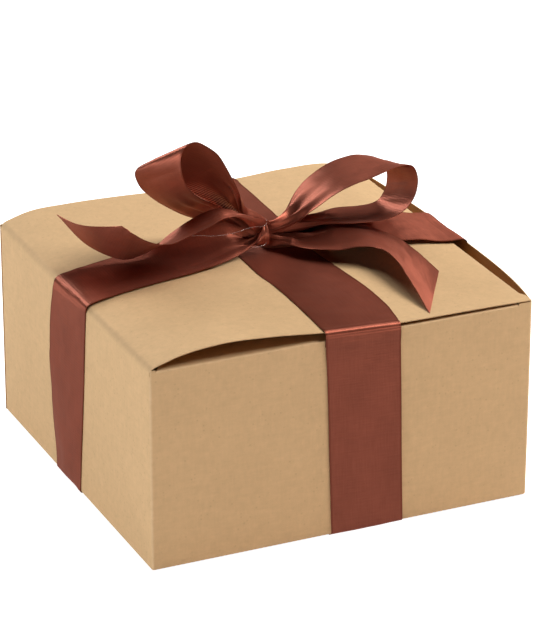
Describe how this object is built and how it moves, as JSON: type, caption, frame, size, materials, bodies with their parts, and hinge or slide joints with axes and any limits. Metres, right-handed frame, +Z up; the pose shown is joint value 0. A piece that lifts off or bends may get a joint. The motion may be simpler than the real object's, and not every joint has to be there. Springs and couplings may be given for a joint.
{
  "type": "gift box",
  "caption": "Square fold-together kraft box with a hinged tuck-in lid, tied crosswise with a wide satin ribbon and a bow on top.",
  "frame": {"origin": "centre of the base, on the surface that the box stands on", "axes": "+Z up through the lid, -Y towards the front wall, +X to the right; the lid hinges on the left wall"},
  "size_m": [0.2136, 0.2038, 0.1794],
  "materials": {
    "kraft_board": "matt uncoated kraft",
    "satin_ribbon": "double-face satin",
    "clear_thread": "clear"
  },
  "bodies": {
    "box": {"wall_front": "kraft_board", "wall_back": "kraft_board", "wall_left": "kraft_board", "wall_right": "kraft_board", "glue_flap": "kraft_board", "bottom_flap_front": "kraft_board", "bottom_flap_back": "kraft_board", "bottom_flap_left": "kraft_board", "bottom_flap_right": "kraft_board", "ribbon_wall_front": "satin_ribbon", "ribbon_wall_back": "satin_ribbon", "ribbon_wall_left": "satin_ribbon", "ribbon_wall_right": "satin_ribbon", "ribbon_bottom_front_left": "satin_ribbon", "ribbon_bottom_back_right": "satin_ribbon"},
    "lid": {"lid_panel": "kraft_board", "ribbon_lid_band": "satin_ribbon", "ribbon_lid_left": "satin_ribbon", "ribbon_lid_right": "satin_ribbon", "bow_knot": "satin_ribbon", "tie_thread": "clear_thread", "bow_loop_left": "satin_ribbon", "bow_loop_right": "satin_ribbon", "bow_tail_left": "satin_ribbon", "bow_tail_right": "satin_ribbon"},
    "tuck_flap": {"tuck_flap": "kraft_board"},
    "dust_flap_front": {"dust_flap_front": "kraft_board"},
    "dust_flap_back": {"dust_flap_back": "kraft_board"}
  },
  "joints": [
    {"name": "lid_hinge", "type": "hinge", "parent": "box", "child": "lid", "pos_m": [-0.1015, 0, 0.1057], "axis": [0, -1, 0], "range_deg": [0, 150]},
    {"name": "tuck_flap_crease", "type": "hinge", "parent": "lid", "child": "tuck_flap", "pos_m": [0.1002, 0, 0.1058], "axis": [0, -1, 0], "range_deg": [0, 60]},
    {"name": "dust_flap_front_crease", "type": "hinge", "parent": "box", "child": "dust_flap_front", "pos_m": [0, -0.1015, 0.10505], "axis": [1, 0, 0], "range_deg": [0, 90]},
    {"name": "dust_flap_back_crease", "type": "hinge", "parent": "box", "child": "dust_flap_back", "pos_m": [0, 0.1015, 0.10505], "axis": [-1, 0, 0], "range_deg": [0, 90]}
  ],
  "couplings": [
    {"joint": "tuck_flap_crease", "follows": "lid_hinge", "ratio": 0.4},
    {"joint": "dust_flap_front_crease", "follows": "lid_hinge", "ratio": 0.6},
    {"joint": "dust_flap_back_crease", "follows": "lid_hinge", "ratio": 0.6}
  ]
}
